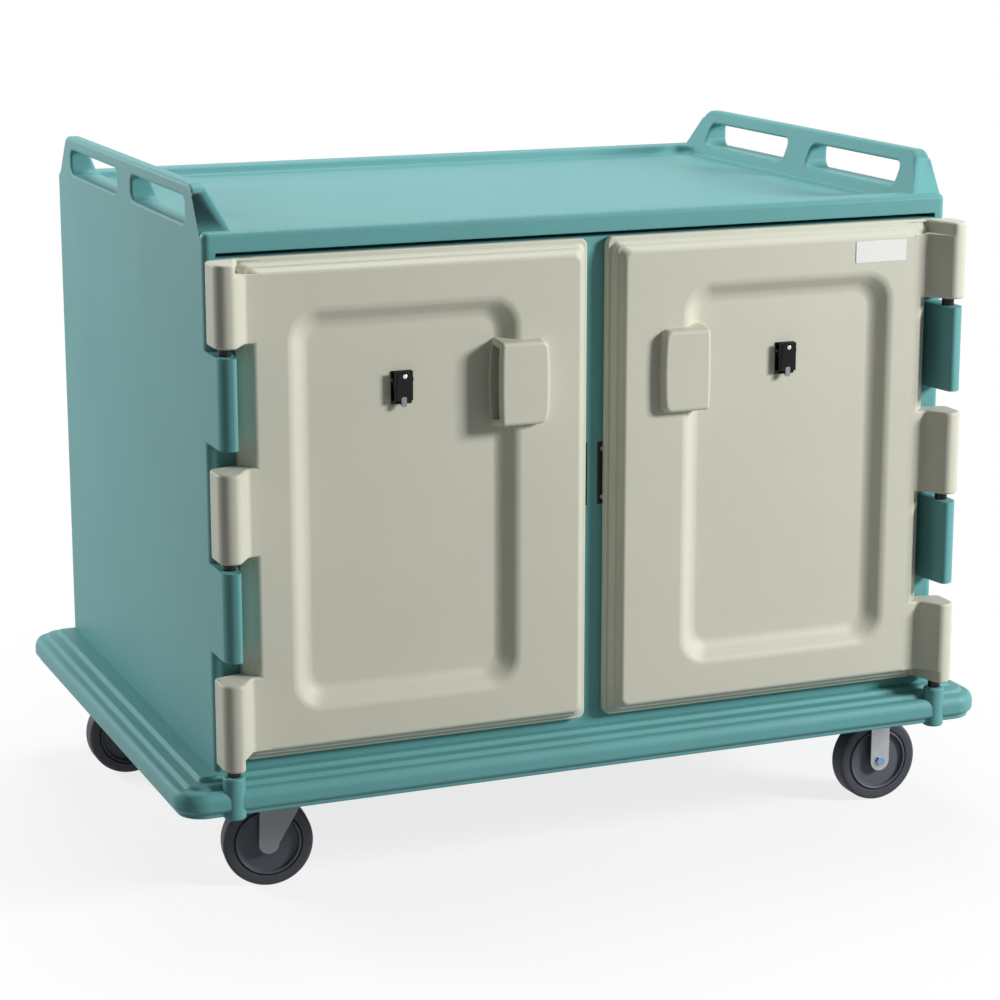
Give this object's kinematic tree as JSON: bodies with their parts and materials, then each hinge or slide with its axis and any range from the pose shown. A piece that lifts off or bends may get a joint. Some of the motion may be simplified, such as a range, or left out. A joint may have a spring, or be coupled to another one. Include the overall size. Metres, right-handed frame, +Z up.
{
  "type": "enclosed meal tray cart",
  "caption": "Low enclosed cart for meal trays: moulded two-door cabinet with end push handles, recessed worktop, bumper deck and casters",
  "frame": {"origin": "on the floor under the middle of the cart's overall length and depth", "axes": "+X along the cart's length towards the fixed casters, +Y from the doors to the back, +Z up"},
  "size_m": [1.472, 1.052, 1.187],
  "materials": {
    "teal_plastic": "rotationally moulded polyethylene, slate teal, fine satin grain",
    "cream_plastic": "rotationally moulded polyethylene, warm light grey, fine satin grain",
    "rail_plastic": "moulded tray supports, satin",
    "zinc_steel": "bright zinc-plated pressed steel",
    "grey_steel": "grey painted pressed steel",
    "bright_pin": "plated steel pins, balls and bolts",
    "black_pin": "black nylon hinge pins",
    "black_catch": "black magnetic catch",
    "clip_black": "black lacquered spring clip",
    "wheel_core": "dark grey moulded wheel core",
    "tyre_grey": "dark grey non-marking tread",
    "plate_white": "blank white plate"
  },
  "bodies": {
    "cabinet": {"cabinet_shell": "teal_plastic", "worktop": "teal_plastic", "left_end_handle": "teal_plastic", "right_end_handle": "teal_plastic", "bumper_deck": "teal_plastic", "left_bay_outer_rails": "rail_plastic", "left_bay_inner_rails": "rail_plastic", "right_bay_inner_rails": "rail_plastic", "right_bay_outer_rails": "rail_plastic", "left_hinge_pins": "black_pin", "right_hinge_pins": "black_pin", "left_magnet_catch": "black_catch", "right_magnet_catch": "black_catch", "catch_screws": "zinc_steel", "front_swivel_plate": "zinc_steel", "front_swivel_bolts": "bright_pin", "front_king_pin": "bright_pin", "front_bearing_balls": "bright_pin", "rear_swivel_plate": "zinc_steel", "rear_swivel_bolts": "bright_pin", "rear_king_pin": "bright_pin", "rear_bearing_balls": "bright_pin", "front_rigid_fork": "zinc_steel", "front_rigid_bolts": "bright_pin", "front_rigid_axle": "bright_pin", "front_rigid_sleeve": "bright_pin", "rear_rigid_fork": "zinc_steel", "rear_rigid_bolts": "bright_pin", "rear_rigid_axle": "bright_pin", "rear_rigid_sleeve": "bright_pin"},
    "left_door": {"left_door_panel": "cream_plastic", "left_strike_plate": "zinc_steel", "left_clip_base": "clip_black", "left_clip_pin": "bright_pin", "left_clip_spring": "bright_pin"},
    "left_clip": {"left_clip_lever": "clip_black"},
    "right_door": {"right_door_panel": "cream_plastic", "right_strike_plate": "zinc_steel", "right_clip_base": "clip_black", "right_clip_pin": "bright_pin", "right_clip_spring": "bright_pin", "right_blank_plate": "plate_white"},
    "right_clip": {"right_clip_lever": "clip_black"},
    "front_swivel": {"front_swivel_fork": "grey_steel", "front_swivel_axle": "bright_pin", "front_swivel_sleeve": "bright_pin"},
    "front_swivel_wheel": {"front_swivel_core": "wheel_core", "front_swivel_tyre": "tyre_grey"},
    "front_rigid_wheel": {"front_rigid_core": "wheel_core", "front_rigid_tyre": "tyre_grey"},
    "rear_swivel": {"rear_swivel_fork": "grey_steel", "rear_swivel_axle": "bright_pin", "rear_swivel_sleeve": "bright_pin"},
    "rear_swivel_wheel": {"rear_swivel_core": "wheel_core", "rear_swivel_tyre": "tyre_grey"},
    "rear_rigid_wheel": {"rear_rigid_core": "wheel_core", "rear_rigid_tyre": "tyre_grey"}
  },
  "joints": [
    {"name": "left_door_hinge", "type": "hinge", "parent": "cabinet", "child": "left_door", "pos_m": [-0.643, -0.493, 0.59], "axis": [0, 0, -1], "range_deg": [0, 250]},
    {"name": "right_door_hinge", "type": "hinge", "parent": "cabinet", "child": "right_door", "pos_m": [0.643, -0.493, 0.59], "axis": [0, 0, 1], "range_deg": [0, 250]},
    {"name": "left_clip_pivot", "type": "hinge", "parent": "left_door", "child": "left_clip", "pos_m": [-0.344, -0.4721, 0.872], "axis": [-1, 0, 0], "range_deg": [0, 22], "stiffness_Nm_per_rad": 0.15, "springref_deg": -11.46},
    {"name": "right_clip_pivot", "type": "hinge", "parent": "right_door", "child": "right_clip", "pos_m": [0.344, -0.4721, 0.872], "axis": [-1, 0, 0], "range_deg": [0, 22], "stiffness_Nm_per_rad": 0.15, "springref_deg": -11.46},
    {"name": "front_swivel_turn", "type": "hinge", "parent": "cabinet", "child": "front_swivel", "pos_m": [-0.5, -0.329, 0.18], "axis": [0, 0, 1], "continuous": true},
    {"name": "rear_swivel_turn", "type": "hinge", "parent": "cabinet", "child": "rear_swivel", "pos_m": [-0.562, 0.336, 0.18], "axis": [0, 0, 1], "continuous": true},
    {"name": "front_swivel_wheel_spin", "type": "hinge", "parent": "front_swivel", "child": "front_swivel_wheel", "pos_m": [-0.53753, -0.32305, 0.0762], "axis": [0.1564, 0.9877, 0], "continuous": true},
    {"name": "rear_swivel_wheel_spin", "type": "hinge", "parent": "rear_swivel", "child": "rear_swivel_wheel", "pos_m": [-0.6, 0.336, 0.0762], "axis": [0, 1, 0], "continuous": true},
    {"name": "front_rigid_wheel_spin", "type": "hinge", "parent": "cabinet", "child": "front_rigid_wheel", "pos_m": [0.62, -0.329, 0.0762], "axis": [0, 1, 0], "continuous": true},
    {"name": "rear_rigid_wheel_spin", "type": "hinge", "parent": "cabinet", "child": "rear_rigid_wheel", "pos_m": [0.62, 0.336, 0.0762], "axis": [0, 1, 0], "continuous": true}
  ]
}
